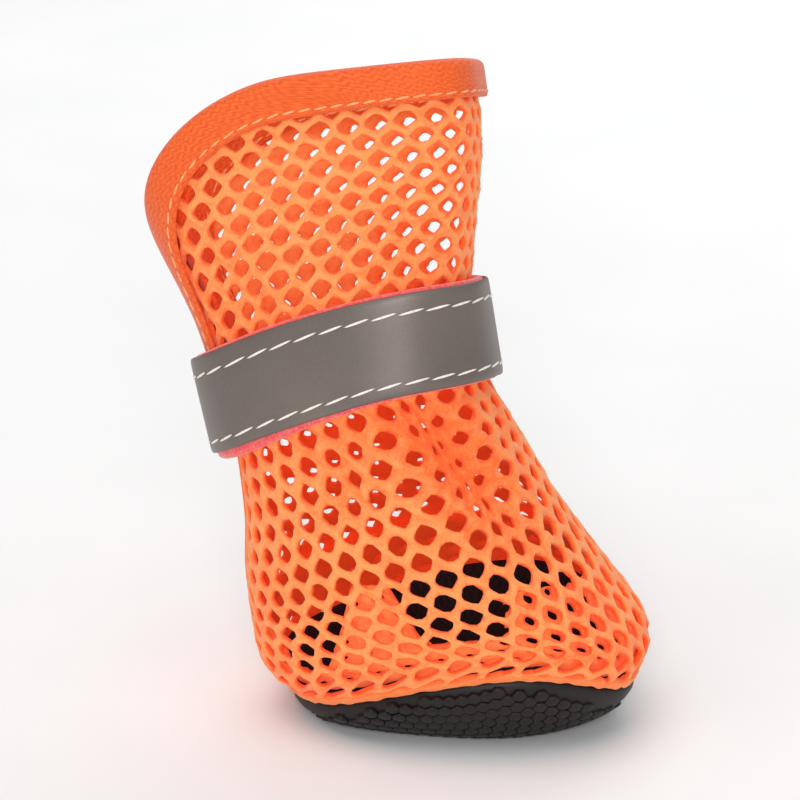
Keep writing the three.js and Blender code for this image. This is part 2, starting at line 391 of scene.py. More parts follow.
# elastic binding tape, fine knit ribs that run wavy along it
def bindingKnit():
    look = {
        "rib": 0.85,
        "ribShare": 0.13,
        "zigzag": 1.9,
        "lean": 0.6,
        "fuzzPerMm": 2.2,
        "dark": "#E24600",
        "pale": "#F96E1A",
        "relief": 0.16,
    }
    material, shader = newMaterial(
        "elastic_binding_knit",
        Roughness=0.72,
        Sheen_Weight=0.2,
        Subsurface_Weight=0.1,
        Subsurface_Scale=0.001,
    )
    shader.inputs["Subsurface Radius"].default_value = (1, 0.3, 0.1)
    place = addNode(material, "ShaderNodeTexCoord", {}, {}).outputs["UV"]
    ways = addNode(material, "ShaderNodeSeparateXYZ", {}, {"Vector": place})
    zigzag = addNode(
        material, "ShaderNodeMath", {"operation": "PINGPONG"},
        {0: ways.outputs["X"], 1: look["zigzag"] / 2},
    )
    across = addNode(
        material, "ShaderNodeMath", {"operation": "MULTIPLY_ADD"},
        {0: zigzag.outputs[0], 1: look["lean"], 2: ways.outputs["Y"]},
    )
    angle = addNode(
        material, "ShaderNodeMath", {"operation": "MULTIPLY"},
        {0: across.outputs[0], 1: 2 * math.pi / look["rib"]},
    )
    ribs = addNode(material, "ShaderNodeMath", {"operation": "SINE"}, {0: angle.outputs[0]})
    fine = addNode(
        material, "ShaderNodeTexNoise", {}, {"Vector": place, "Scale": look["fuzzPerMm"], "Detail": 2},
    )
    height = addNode(
        material, "ShaderNodeMath", {"operation": "MULTIPLY_ADD"},
        {0: ribs.outputs[0], 1: look["ribShare"], 2: fine.outputs["Fac"]},
    )
    shade = colourRange(material, height.outputs[0], (0.2, look["dark"]), (0.75, look["pale"]))
    bump = addNode(
        material, "ShaderNodeBump", {},
        {"Height": height.outputs[0], "Strength": 0.55, "Distance": look["relief"] / 1000},
    )
    material.node_tree.links.new(shade, shader.inputs["Base Color"])
    material.node_tree.links.new(bump.outputs["Normal"], shader.inputs["Normal"])
    return material


# glass-bead reflective tape: grey, slightly shiny, with a fine sparkle
def beadTape():
    look = {
        "bead": 0.35,
        "beadShare": 0.4,
        "patch": 14,
        "dark": "#6A605B",
        "pale": "#7B7069",
        "relief": 0.03,
    }
    material, shader = newMaterial("glass_bead_reflective_tape", Roughness=0.42, Metallic=0.25)
    place = addNode(material, "ShaderNodeTexCoord", {}, {}).outputs["Object"]
    beads = addNode(
        material, "ShaderNodeTexNoise", {},
        {"Vector": place, "Scale": perMetre(look["bead"]), "Detail": 1},
    )
    patch = addNode(
        material, "ShaderNodeTexNoise", {},
        {"Vector": place, "Scale": perMetre(look["patch"]), "Detail": 2},
    )
    both = addNode(
        material, "ShaderNodeMath", {"operation": "MULTIPLY_ADD"},
        {0: beads.outputs["Fac"], 1: look["beadShare"], 2: patch.outputs["Fac"]},
    )
    shade = colourRange(material, both.outputs[0], (0.4, look["dark"]), (1, look["pale"]))
    bump = addNode(
        material, "ShaderNodeBump", {},
        {"Height": beads.outputs["Fac"], "Strength": 0.35, "Distance": look["relief"] / 1000},
    )
    material.node_tree.links.new(shade, shader.inputs["Base Color"])
    material.node_tree.links.new(bump.outputs["Normal"], shader.inputs["Normal"])
    return material


# brushed nylon loop cloth: dull, soft nap
def loopCloth():
    look = {"nap": 0.5, "dark": "#E8484A", "pale": "#FF7C78", "relief": 0.2}
    material, shader = newMaterial(
        "brushed_nylon_loop", Roughness=0.95, Sheen_Weight=0.5, Sheen_Roughness=0.4
    )
    place = addNode(material, "ShaderNodeTexCoord", {}, {}).outputs["Object"]
    nap = addNode(
        material, "ShaderNodeTexNoise", {},
        {"Vector": place, "Scale": perMetre(look["nap"]), "Detail": 4},
    )
    shade = colourRange(material, nap.outputs["Fac"], (0.3, look["dark"]), (0.7, look["pale"]))
    bump = addNode(
        material, "ShaderNodeBump", {},
        {"Height": nap.outputs["Fac"], "Strength": 0.7, "Distance": look["relief"] / 1000},
    )
    material.node_tree.links.new(shade, shader.inputs["Base Color"])
    material.node_tree.links.new(bump.outputs["Normal"], shader.inputs["Normal"])
    return material


# spun polyester sewing thread: two plies, a soft shine
def sewingThread(name, dark, pale):
    look = {"ply": 0.4, "relief": 0.06}
    material, shader = newMaterial(name, Roughness=0.6, Sheen_Weight=0.2)
    place = addNode(material, "ShaderNodeTexCoord", {}, {}).outputs["Object"]
    ply = addNode(
        material, "ShaderNodeTexNoise", {},
        {"Vector": place, "Scale": perMetre(look["ply"]), "Detail": 2},
    )
    shade = colourRange(material, ply.outputs["Fac"], (0.3, dark), (0.65, pale))
    bump = addNode(
        material, "ShaderNodeBump", {},
        {"Height": ply.outputs["Fac"], "Strength": 0.5, "Distance": look["relief"] / 1000},
    )
    material.node_tree.links.new(shade, shader.inputs["Base Color"])
    material.node_tree.links.new(bump.outputs["Normal"], shader.inputs["Normal"])
    return material


# moulded rubber: black, half matt, with a faint bloom
def mouldedRubber():
    look = {"grit": 0.3, "bloom": 11, "dark": "#15110F", "pale": "#201917", "relief": 0.03}
    material, shader = newMaterial("moulded_rubber", Roughness=0.5, Specular_IOR_Level=0.35)
    place = addNode(material, "ShaderNodeTexCoord", {}, {}).outputs["Object"]
    grit = addNode(
        material, "ShaderNodeTexNoise", {},
        {"Vector": place, "Scale": perMetre(look["grit"]), "Detail": 2},
    )
    bloom = addNode(
        material, "ShaderNodeTexNoise", {},
        {"Vector": place, "Scale": perMetre(look["bloom"]), "Detail": 3},
    )
    shade = colourRange(material, bloom.outputs["Fac"], (0.35, look["dark"]), (0.7, look["pale"]))
    rough = addNode(
        material, "ShaderNodeMapRange", {},
        {"Value": bloom.outputs["Fac"], "From Min": 0.3, "From Max": 0.7, "To Min": 0.42, "To Max": 0.58},
    )
    bump = addNode(
        material, "ShaderNodeBump", {},
        {"Height": grit.outputs["Fac"], "Strength": 0.4, "Distance": look["relief"] / 1000},
    )
    material.node_tree.links.new(shade, shader.inputs["Base Color"])
    material.node_tree.links.new(rough.outputs[0], shader.inputs["Roughness"])
    material.node_tree.links.new(bump.outputs["Normal"], shader.inputs["Normal"])
    return material


# woven polyester on foam: black, dead matt
def insoleCloth():
    look = {"thread": 0.55, "dark": "#0D0B0B", "pale": "#1B1718", "relief": 0.08}
    material, shader = newMaterial("woven_insole_cloth", Roughness=0.92)
    place = addNode(material, "ShaderNodeTexCoord", {}, {}).outputs["UV"]
    weave = addNode(
        material, "ShaderNodeTexChecker", {}, {"Vector": place, "Scale": 1 / look["thread"]},
    )
    shade = colourRange(material, weave.outputs["Fac"], (0, look["dark"]), (1, look["pale"]))
    bump = addNode(
        material, "ShaderNodeBump", {},
        {"Height": weave.outputs["Fac"], "Strength": 0.4, "Distance": look["relief"] / 1000},
    )
    material.node_tree.links.new(shade, shader.inputs["Base Color"])
    material.node_tree.links.new(bump.outputs["Normal"], shader.inputs["Normal"])
    return material


yarn = netYarn()
binding = bindingKnit()
reflective = beadTape()
felt = loopCloth()
whiteThread = sewingThread("white_sewing_thread", "#E9DDD2", "#FFF8F0")
orangeThread = sewingThread("orange_sewing_thread", "#F58C4C", "#FFB880")
rubber = mouldedRubber()
footbed = insoleCloth()
print("stage: materials")


# The net: one cell of the knit, arrayed flat, then drawn over the wall
net = {
    "cellWide": 5.0,
    "rowPitch": 3.2,
    "sideEdge": 0.8,
    "strand": 0.88,
    "thick": 1.0,
    "columns": 38,
    "smooth": 1,
    "uneven": 0.2,
    "waves": ((4.1, 0, 2.3, 0), (0, 3.7, -2.9, 1), (1.9, -2.2, 5.3, 0)),
    # insideShadeToLight: the stretch along the wall over which faces turned inward go from painted shade to
    # painted light
    "insideShadeToLight": (44, 66),
    "rise": 4.5,
    "riseFade": (18, 50),
    "stretch": 0.15,
    "stretchFade": 20,
    "underSlitTape": -1.2,
    "underCollarTape": -1.5,
    "seamGap": 0.3,
    "low": 0.2,
    "top": {"turn": (-180, 180), "t": (97.3, 97.3)},
}
# how wide the holes stand open: turn in degrees, then the share at three levels along the wall,
# low on the foot, at the throat and on the shaft
openness = {
    "turn": (-180, -120, -60, 0, 50, 120, 180),
    "foot": (0.72, 0.95, 1, 0.95, 0.6, 0.56, 0.7),
    "throat": (0.62, 0.9, 0.84, 0.8, 0.46, 0.44, 0.55),
    "shaft": (0.76, 0.94, 0.96, 0.82, 0.62, 0.64, 0.74),
    "levels": (16, 40, 66),
}
# how far the cloth is drawn together round the boot, at places along the wall
gather = {
    "t": (0, 13, 24, 36, 52, 66, 84, 102),
    "share": (1, 0.98, 0.9, 0.82, 0.8, 0.86, 0.88, 0.88),
}
# soft folds: from and to as turn in degrees and place along the wall, width and depth in mm,
# pinch and shutAndShade as the shares by which the cloth is drawn in and its holes close; shutAndShade also
# paints shade into the fold's trough
folds = [
    {"from": (-62, 44), "to": (-34, 25), "width": 4.5, "depth": 1.9, "pinch": 0.75, "shutAndShade": 0.5},
    {"from": (-96, 45), "to": (-100, 31), "width": 3.5, "depth": 0.8, "pinch": 0.15, "shutAndShade": 0.2},
    {"from": (-18, 45), "to": (-12, 33), "width": 3.5, "depth": 0.7, "pinch": 0.1, "shutAndShade": 0.2},
    {"from": (60, 44), "to": (40, 26), "width": 4.5, "depth": 1.3, "pinch": 0.35, "shutAndShade": 0.5},
    {"from": (112, 45), "to": (120, 20), "width": 9, "depth": 0.9, "pinch": 0.1, "shutAndShade": 0.55},
    {"from": (-60, 63), "to": (-72, 80), "width": 4, "depth": 0.7, "pinch": 0.1, "shutAndShade": 0.1},
    {"from": (-120, 63), "to": (-128, 78), "width": 4, "depth": 0.8, "pinch": 0.1, "shutAndShade": 0.1},
    {"from": (75, 63), "to": (85, 82), "width": 4.5, "depth": 0.8, "pinch": 0.1, "shutAndShade": 0.1},
]
# every fold's form, in shares of its run and of its width
foldForm = {
    "ends": (-0.3, 1.3),
    "fadeIn": (-0.35, 0.15),
    "fadeOut": (0.45, 1.25),
    "pinchReach": 1.6,
    "ridgeAt": 1.7,
    "ridgeShare": 0.35,
}


def foldWeights(length, t):
    for fold in folds:
        (turnA, tA), (turnB, tB) = fold["from"], fold["to"]
        run = (t - tA) / (tB - tA)
        lineTurn = np.radians(turnA + (turnB - turnA) * np.clip(run, *foldForm["ends"]))
        away = length - lengthAt(lineTurn, t)
        fade = smoothStep(run, *foldForm["fadeIn"]) * (1 - smoothStep(run, *foldForm["fadeOut"]))
        yield fold, away, fade


def drawOverWall(u, t):
    length = u * np.interp(t, gather["t"], gather["share"])
    moved = length.copy()
    for fold, away, fade in foldWeights(length, t):
        reach = fold["width"] * foldForm["pinchReach"]
        moved -= fold["pinch"] * fade * away * np.exp(-((away / reach) ** 2))
    return moved


# the rows of the knit: low on the foot they rise to the toe and stand farther apart
def rowPlace(u, row):
    turn = turnAt(u * np.interp(row, gather["t"], gather["share"]), row)
    rise = net["rise"] * np.cos(turn) * (1 - smoothStep(row, *net["riseFade"]))
    return row + rise + net["stretch"] * net["stretchFade"] * (1 - np.exp(-row / net["stretchFade"]))


def foldOffset(length, t):
    total = np.zeros_like(length)
    for fold, away, fade in foldWeights(length, t):
        trough = np.exp(-((away / fold["width"]) ** 2))
        ridge = np.exp(-(((np.abs(away) - foldForm["ridgeAt"] * fold["width"]) / fold["width"]) ** 2))
        total += fold["depth"] * fade * (foldForm["ridgeShare"] * ridge - trough)
    return total


def openShare(length, t):
    degrees = np.degrees(turnAt(length, t))
    foot, throat, shaft = (
        np.interp(degrees, openness["turn"], openness[part]) for part in ("foot", "throat", "shaft")
    )
    first, second, third = openness["levels"]
    share = foot + (throat - foot) * smoothStep(t, first, second)
    share = share + (shaft - throat) * smoothStep(t, second, third)
    for fold, away, fade in foldWeights(length, t):
        share = share * (1 - fold["shutAndShade"] * fade * np.exp(-((away / fold["width"]) ** 2)))
    return share


def storeOnPoints(piece, name, kind, values):
    layer = piece.data.attributes.new(name, kind, "POINT")
    layer.data.foreach_set("vector" if kind == "FLOAT_VECTOR" else "value", np.ravel(values))


def takeFromPoints(piece, name, width):
    layer = piece.data.attributes[name]
    values = np.zeros(len(piece.data.vertices) * width)
    layer.data.foreach_get("vector" if width == 3 else "value", values)
    piece.data.attributes.remove(layer)
    return values.reshape(-1, width).squeeze()


# knitted yarn is uneven: every point goes a little in or out along its normal
def roughenYarn(piece):
    normals = np.zeros(len(piece.data.vertices) * 3)
    piece.data.vertex_normals.foreach_get("vector", normals)
    points = readPoints(piece)
    x, y, z = (points * 1000).T
    waves = sum(np.sin(a * x + b * y + c * z + d) for a, b, c, d in net["waves"])
    high = net["uneven"] / len(net["waves"]) / 1000
    movePoints(piece, points + normals.reshape(-1, 3) * waves[:, None] * high)


def netPanel(name, low, high, offset, thick, shift=0, pale=0, tight=1):
    sideEdge = net["sideEdge"] / 2
    peak = net["rowPitch"] - sideEdge
    bpy.ops.object.select_all(action="DESELECT")
    bpy.ops.mesh.primitive_circle_add(vertices=6, radius=net["cellWide"] / 2, fill_type="NGON")
    piece = bpy.context.object
    piece.name = name
    cell = readPoints(piece)
    middle = np.abs(cell[:, 0]) < 0.1
    cell[:, 1] = np.sign(cell[:, 1]) * np.where(middle, peak, sideEdge)
    cell[:, 0] = np.where(middle, 0, np.sign(cell[:, 0]) * net["cellWide"] / 2)
    movePoints(piece, cell)
    editMesh(
        piece,
        selectAllMesh,
        lambda: bpy.ops.mesh.inset(thickness=net["strand"] / 2),
        lambda: bpy.ops.mesh.delete(type="FACE"),
    )
    cell = readPoints(piece)
    storeOnPoints(piece, "fromCentre", "FLOAT_VECTOR", np.where(np.arange(len(cell))[:, None] < 6, 0, cell))
    rowsNeeded = int((max(high["t"]) + net["rise"] - low) / net["rowPitch"] / 2) + 2
    for count, step in (
        (net["columns"], (net["cellWide"], 0, 0)),
        (2, (net["cellWide"] / 2, net["rowPitch"], 0)),
        (rowsNeeded, (0, 2 * net["rowPitch"], 0)),
    ):
        applyModifier(
            piece, "ARRAY", count=count, use_relative_offset=False, use_constant_offset=True,
            constant_offset_displace=step,
        )
    mergePoints(piece, 0.01)
    flat = readPoints(piece)
    fromCentre = takeFromPoints(piece, "fromCentre", 3)
    flat[:, 0] += shift - net["columns"] / 2 * net["cellWide"]
    flat[:, 1] += low - net["rowPitch"] / 2 - net["rise"]
    centre = flat - fromCentre
    centreT = rowPlace(centre[:, 0], centre[:, 1])
    share = tight * openShare(drawOverWall(centre[:, 0], centreT), centreT)
    u, row = (centre + fromCentre * share[:, None])[:, :2].T
    t = rowPlace(u, row)
    length = drawOverWall(u, t)
    atSeam = math.pi - net["seamGap"] / sizesAt(t)["half"]
    back = np.where(t > boot["slitFoot"] - 1, slitTurn(t, net["underSlitTape"]), atSeam)
    turn = turnAt(length, t)
    cut = np.interp(np.degrees(turn), high["turn"], high["t"])
    top = np.minimum(topAt(turn, net["underCollarTape"]), cut)
    outside = (np.abs(turn) > back) | (t > top) | (t < low)
    turn = np.clip(turn, -back, back)
    t = np.clip(t, low, top)
    out = foldOffset(lengthAt(turn, t), t) + offset
    movePoints(piece, wallPoint(turn, t, out) / 1000)
    storeOnPoints(piece, "turn", "FLOAT", turn)
    storeOnPoints(piece, "place", "FLOAT", t)
    deleteFaces(piece, [all(outside[k] for k in face.vertices) for face in piece.data.polygons])
    mergePoints(piece, 2e-5)
    applyModifier(piece, "SOLIDIFY", thickness=thick / 1000, offset=0)
    smoothPiece(piece, net["smooth"])
    roughenYarn(piece)
    turn, t = takeFromPoints(piece, "turn", 1), takeFromPoints(piece, "place", 1)
    length = lengthAt(turn, t)
    above = readPoints(piece) * 1000 - wallPoint(turn, t, foldOffset(length, t) + offset)
    # painted light and shade by relief: yarn standing out of the wall is painted paler, faces turned inward
    # are painted deeper on the foot and paler high on the shaft; pale shifts a whole panel's painted tone
    proud = np.sum(above * outward(turn, t), -1) / thick
    inside = 1.5 * smoothStep(t, *net["insideShadeToLight"]) - 0.5
    shade = 0.5 + pale + np.where(proud > 0, proud, -inside * proud)
    # painted shade: the yarn in each fold's trough is painted deeper
    for fold, away, fade in foldWeights(length, t):
        shade -= fold["shutAndShade"] * fade * np.exp(-((away / fold["width"]) ** 2))
    storeOnPoints(piece, "proud", "FLOAT", shade)
    return piece


upper = netPanel("mesh_upper", net["low"], net["top"], 0, net["thick"])
dress(upper, yarn, "mesh", "upper")
print("stage: net upper", len(upper.data.polygons))

# the hem turned in at the sole: its height inside differs from turn to turn
hem = {
    "low": 0.4,
    "high": {
        "turn": (-180, -146, -137, -122, -115, -108, -95, -90, -65, -57, -48, 0, 180),
        "t": (18, 14, 6, 6, 14, 24, 23, 11, 11, 18, 20, 18, 18),
    },
    "offset": -1.75,
    "thick": 0.9,
    "shift": 1.7,
    # pale: the turned-in hem is set lower on the painted tone, painted shade inside the boot
    "pale": -0.05,
    "tight": 0.45,
}
hemNet = netPanel("mesh_hem", **hem)
dress(hemNet, yarn, "mesh")
print("stage: turned-in hem", len(hemNet.data.polygons))

# the cut edge of the net, sewn down along the sole
edge = {
    "low": -0.5,
    "high": 1.0,
    "thick": 1.4,
    "ragged": 0.4,
    "waves": ((37, 0, 0.6), (61, 1, 0.4)),
    "waveLag": 3,
    "columns": 220,
    "lines": 5,
    # shade: a fixed place on the yarn's range from painted shade to painted light, near the lit strand tops
    "shade": 0.8,
}


def netEdge():
    turn = np.linspace(-math.pi, math.pi, edge["columns"] + 1)
    wave = sum(np.sin(turn * count + start) * share for count, start, share in edge["waves"])
    across = np.linspace(0, 1, edge["lines"])
    low = edge["low"] + edge["ragged"] * wave
    high = edge["high"] + edge["ragged"] * np.roll(wave, edge["waveLag"])
    t = low[:, None] + (high - low)[:, None] * across[None, :]
    t[-1] = t[0]
    points = wallPoint(turn[:, None], t, 0)
    piece = clothGrid("mesh_edge", points, turn * 25, across * 2, closed=True)
    applyModifier(piece, "SOLIDIFY", thickness=edge["thick"] / 1000, offset=0)
    smoothPiece(piece, 1)
    storeOnPoints(piece, "proud", "FLOAT", np.full(len(piece.data.vertices), edge["shade"]))
    return piece


dress(netEdge(), yarn, "mesh")

# the back seam from the sole up to the slit, a narrow rolled join
backSeam = {
    "half": 1.5,
    "low": 0,
    "high": 53,
    "thick": 1.7,
    "lines": 60,
    "across": 7,
    "crown": 0.25,
    # shade: a fixed place on the yarn's range from painted shade to painted light, toward the lit side
    "shade": 0.7,
}


def heelSeam():
    t = np.linspace(backSeam["low"], backSeam["high"], backSeam["lines"])
    side = np.linspace(-1, 1, backSeam["across"])
    turn = math.pi + side[None, :] * backSeam["half"] / sizesAt(t)["half"][:, None]
    crown = backSeam["crown"] * (1 - side**2)
    points = wallPoint(turn, t[:, None], crown[None, :])
    piece = clothGrid("heel_seam", points, t, side * backSeam["half"], flipped=True)
    applyModifier(piece, "SOLIDIFY", thickness=backSeam["thick"] / 1000, offset=0)
    smoothPiece(piece, 1)
    storeOnPoints(piece, "proud", "FLOAT", np.full(len(piece.data.vertices), backSeam["shade"]))
    return piece


dress(heelSeam(), yarn, "mesh")
print("stage: net edges")

# The binding: a tape folded over the collar and slit edges
tape = {
    "width": 6.2,
    "thick": 0.8,
    "off": 1.5,
    "fold": 1.05,
    "foldFrom": -0.4,
    "legLines": 6,
    "foldLines": 7,
    "roundSteps": 8,
    "sideSteps": 22,
    "collarSteps": 150,
    "crowding": 0.45,
    "stitchFromEdge": 1.1,
    "stitchLong": 2.2,
    "stitchPitch": 2.5,
    "threadWide": 0.36,
    "threadHigh": 0.3,
}


def edgePlaces(margin):
    foot = boot["slitFoot"] + margin
    quarter = np.linspace(0, math.pi / 2, tape["roundSteps"], endpoint=False)
    roundT = foot + (boot["slitHalf"] - margin) * (1 - np.cos(quarter))
    flapTop = boot["collarEdge"] - boot["collarCorner"]
    sideT = np.linspace(foot + boot["slitHalf"] - margin, flapTop, tape["sideSteps"], endpoint=False)
    flapT = np.concatenate([roundT, sideT])
    flapTurn = slitTurn(flapT, margin)
    i = np.linspace(0, 1, tape["collarSteps"] + 1)
    share = 2 * (i - tape["crowding"] * np.sin(2 * math.pi * i) / (2 * math.pi)) - 1
    collarT = topAt(share * slitTurn(flapTop, margin), margin)
    collarTurn = share * slitTurn(collarT, margin)
    turn = np.concatenate([-flapTurn, collarTurn, flapTurn[::-1]])
    return turn, np.concatenate([flapT, collarT, flapT[::-1]])


def tapeOutline():
    legs = np.linspace(-tape["width"], tape["foldFrom"], tape["legLines"])
    sweep = np.linspace(math.pi / 2, -math.pi / 2, tape["foldLines"] + 2)[1:-1]
    margin = np.concatenate([legs, tape["foldFrom"] + tape["fold"] * np.cos(sweep), legs[::-1]])
    offset = np.concatenate([legs * 0 + 1, np.sin(sweep), legs * 0 - 1]) * tape["off"]
    return margin, offset


def edgeLine(margin, offset):
    turn, t = edgePlaces(margin)
    return wallPoint(turn, t, offset)


def runningLength(points):
    return np.concatenate([[0], np.cumsum(np.linalg.norm(np.diff(points, axis=0), axis=1))])


def collarTape():
    margin, offset = tapeOutline()
    points = np.stack([edgeLine(m, o) for m, o in zip(margin, offset)], 1)
    along = runningLength(points[:, 3])
    across = runningLength(np.stack([margin, offset], 1))
    piece = clothGrid("collar_tape", points, along, across, closed=True, flipped=True)
    applyModifier(piece, "SOLIDIFY", thickness=tape["thick"] / 1000, offset=0)
    smoothPiece(piece, 1)
    return piece


# stitches along a line of points: each a flat bead of thread that dips at its ends and leans a little
stitch = {"probe": 0.4, "lean": 0.1, "segments": 8, "rings": 6}


def stitchRow(name, line, outs, size):
    pitch = size["stitchPitch"]
    bpy.ops.object.select_all(action="DESELECT")
    bpy.ops.mesh.primitive_uv_sphere_add(
        segments=stitch["segments"], ring_count=stitch["rings"], radius=0.5
    )
    pattern = bpy.context.object
    along = runningLength(line)
    places = np.arange(pitch / 2, along[-1] - pitch / 2, pitch)
    origins = np.stack([np.interp(places, along, line[:, k]) for k in range(3)], -1)
    ahead = np.stack([np.interp(places + stitch["probe"], along, line[:, k]) for k in range(3)], -1)
    out = unit(np.stack([np.interp(places, along, outs[:, k]) for k in range(3)], -1))
    run = unit(ahead - origins)
    side = unit(np.cross(out, run))
    run = unit(run + stitch["lean"] * side)
    axes = np.stack([run * size["stitchLong"], side * size["threadWide"], out * size["threadHigh"]], 1)
    return copyToPlaces(name, pattern, origins, axes)


def tapeStitches(name, side):
    margin = -tape["width"] + tape["stitchFromEdge"]
    surface = side * (tape["off"] + tape["thick"] / 2)
    turn, t = edgePlaces(margin)
    line = wallPoint(turn, t, surface)
    return stitchRow(name, line, side * outward(turn, t), tape)


dress(collarTape(), binding, "binding_tape", "collar_binding")
dress(tapeStitches("collar_stitches", 1), orangeThread, "binding_tape")
dress(tapeStitches("collar_stitches_inside", -1), orangeThread, "binding_tape")
print("stage: binding")

# The strap: soft loop cloth inside, reflective tape outside, wound once round and lapped
strap = {
    "low": 46,
    "high": 61.5,
    "width": 16,
    "backing": 1.2,
    "face": 0.5,
    "faceMargin": 0.4,
    "start": math.radians(115),
    "span": math.radians(400),
    "lapRamp": math.radians(34),
    "lapRoom": 0.04,
    "slitRoom": 1.4,
    "roomFrom": 0.45,
    "roomTo": 0.8,
    "hang": 1.1,
    "hangTurn": math.radians(138),
    "hangSpread": math.radians(38),
    "steps": 220,
    "lines": 10,
    "stitchEnd": 0.04,
    "stitchTop": 3.3,
    "stitchLow": 2.3,
    "stitchLong": 4.2,
    "stitchPitch": 4.2,
    "threadWide": 0.38,
    "threadHigh": 0.3,
}


def strapFrame(along):
    turn = strap["start"] - along
    atBack = smoothStep(-np.cos(turn), strap["roomFrom"], strap["roomTo"])
    lap = smoothStep(along, 2 * math.pi - strap["lapRamp"], 2 * math.pi - strap["lapRoom"])
    layer = strap["backing"] + strap["face"] + 2 * boot["clear"]
    off = boot["wall"] / 2 + boot["clear"] + strap["slitRoom"] * atBack + lap * layer
    low = wallPoint(turn, strap["low"], off)
    high = wallPoint(turn, strap["high"], off)
    up = unit(high - low)
    ahead = middlePoint(turn + probe["turn"], boot["slitFoot"])
    behind = middlePoint(turn - probe["turn"], boot["slitFoot"])
    return (low + high) / 2, up, unit(np.cross(ahead - behind, up))


def strapBand(name, width, inner, thick, hang=0):
    along = np.linspace(0, strap["span"], strap["steps"] + 1)
    centre, up, out = strapFrame(along)
    across = np.linspace(-width / 2, width / 2, strap["lines"])
    middle = centre + out * (inner + thick / 2)
    atHeel = np.exp(-(((strap["start"] - along + strap["hangTurn"]) / strap["hangSpread"]) ** 2))
    side = across[None, :] - hang * atHeel[:, None] * smoothStep(-across, 0, width / 2)[None, :]
    points = middle[:, None, :] + up[:, None, :] * side[:, :, None]
    piece = clothGrid(name, points, runningLength(middle), across, flipped=True)
    applyModifier(piece, "SOLIDIFY", thickness=thick / 1000, offset=0)
    smoothPiece(piece, 1)
    return piece


def strapStitches(name, fromMiddle):
    along = np.linspace(strap["stitchEnd"], strap["span"] - strap["stitchEnd"], strap["steps"] + 1)
    centre, up, out = strapFrame(along)
    surface = strap["backing"] + boot["clear"] + strap["face"]
    line = centre + out * surface + up * fromMiddle
    return stitchRow(name, line, out, strap)


half = strap["width"] / 2
backing = strapBand("strap_felt", strap["width"], 0, strap["backing"], strap["hang"])
dress(backing, felt, "strap_felt", "strap_backing")
faceWide = strap["width"] - 2 * strap["faceMargin"]
face = strapBand("strap_tape", faceWide, strap["backing"] + boot["clear"], strap["face"])
dress(face, reflective, "strap_reflective", "strap_face")
dress(strapStitches("strap_stitches_top", half - strap["stitchTop"]), whiteThread, "strap_reflective")
dress(strapStitches("strap_stitches_low", strap["stitchLow"] - half), whiteThread, "strap_reflective")
print("stage: strap")

# The sole: a dished rubber sheet with rounded six-sided pads, and the insole in it
sole = {
    "thick": 2.8,
    "flatSide": 0.5,
    "flatHeel": 0.2,
    "flatToe": 0.06,
    "rise": 2,
    "rimDrop": 0.5,
    "padHigh": 0.35,
    "padPitch": 2.35,
    "padWide": 2.15,
    "padDepth": 0.8,
    "padBevel": 0.22,
    "padSink": 0.22,
    "sinkWithin": 4,
    "padReach": 36,
    "rimBare": 0.1,
    "endBare": 3.4,
    "innerRing": 0.05,
    "lastRing": 0.95,
    "clothRadius": 26,
    "turns": 120,
    "rings": 16,
}
footbedSize = {"thick": 1.2, "edge": 5.5, "room": 2.6, "lastRing": 0.92}


def soleMiddle(turn, ring):
    turn, ring = np.broadcast_arrays(np.asarray(turn, float), np.asarray(ring, float))
    seam = middlePoint(turn, 0)
    c = np.cos(turn)
    flat = sole["flatSide"] + np.where(c > 0, sole["flatToe"], sole["flatHeel"]) * c**2
    span = np.hypot(seam[..., 0], seam[..., 1])
    steep = sole["rise"] * (seam[..., 2] - sole["thick"]) / ((1 - flat) * span)
    drop = sole["rimDrop"] + sole["thick"] / 2 / np.hypot(1, steep)
    rise = np.maximum((ring - flat) / (1 - flat), 0) ** sole["rise"]
    z = sole["thick"] / 2 + (seam[..., 2] - drop - sole["thick"] / 2) * rise
    return np.stack([seam[..., 0] * ring, seam[..., 1] * ring, z], -1)


def soleUp(turn, ring):
    ring = np.maximum(ring, sole["innerRing"])
    around = soleMiddle(turn + probe["turn"], ring) - soleMiddle(turn - probe["turn"], ring)
    along = soleMiddle(turn, ring) - soleMiddle(turn, ring - probe["ring"])
    return unit(np.cross(along, around))


def solePoint(turn, ring, offset):
    return soleMiddle(turn, ring) + soleUp(turn, ring) * offset


def dishGrid(name, rings, offset, rim, thick):
    turn = np.linspace(-math.pi, math.pi, sole["turns"] + 1)
    points = solePoint(turn[:, None], rings[None, :], offset)
    points = np.concatenate([points, rim(turn)[:, None, :]], 1)
    across = np.append(rings, 1) * sole["clothRadius"]
    piece = clothGrid(name, points, turn * sole["clothRadius"], across, closed=True)
    applyModifier(piece, "SOLIDIFY", thickness=thick / 1000, offset=0)
    smoothPiece(piece, 1)
    return piece


def outsoleDish():
    skin = sole["thick"] - sole["padHigh"]
    lift = sole["padHigh"] / 2
    rings = np.linspace(0, sole["lastRing"], sole["rings"])
    return dishGrid("rubber_sole", rings, lift, lambda turn: wallPoint(turn, -sole["rimDrop"], -lift), skin)


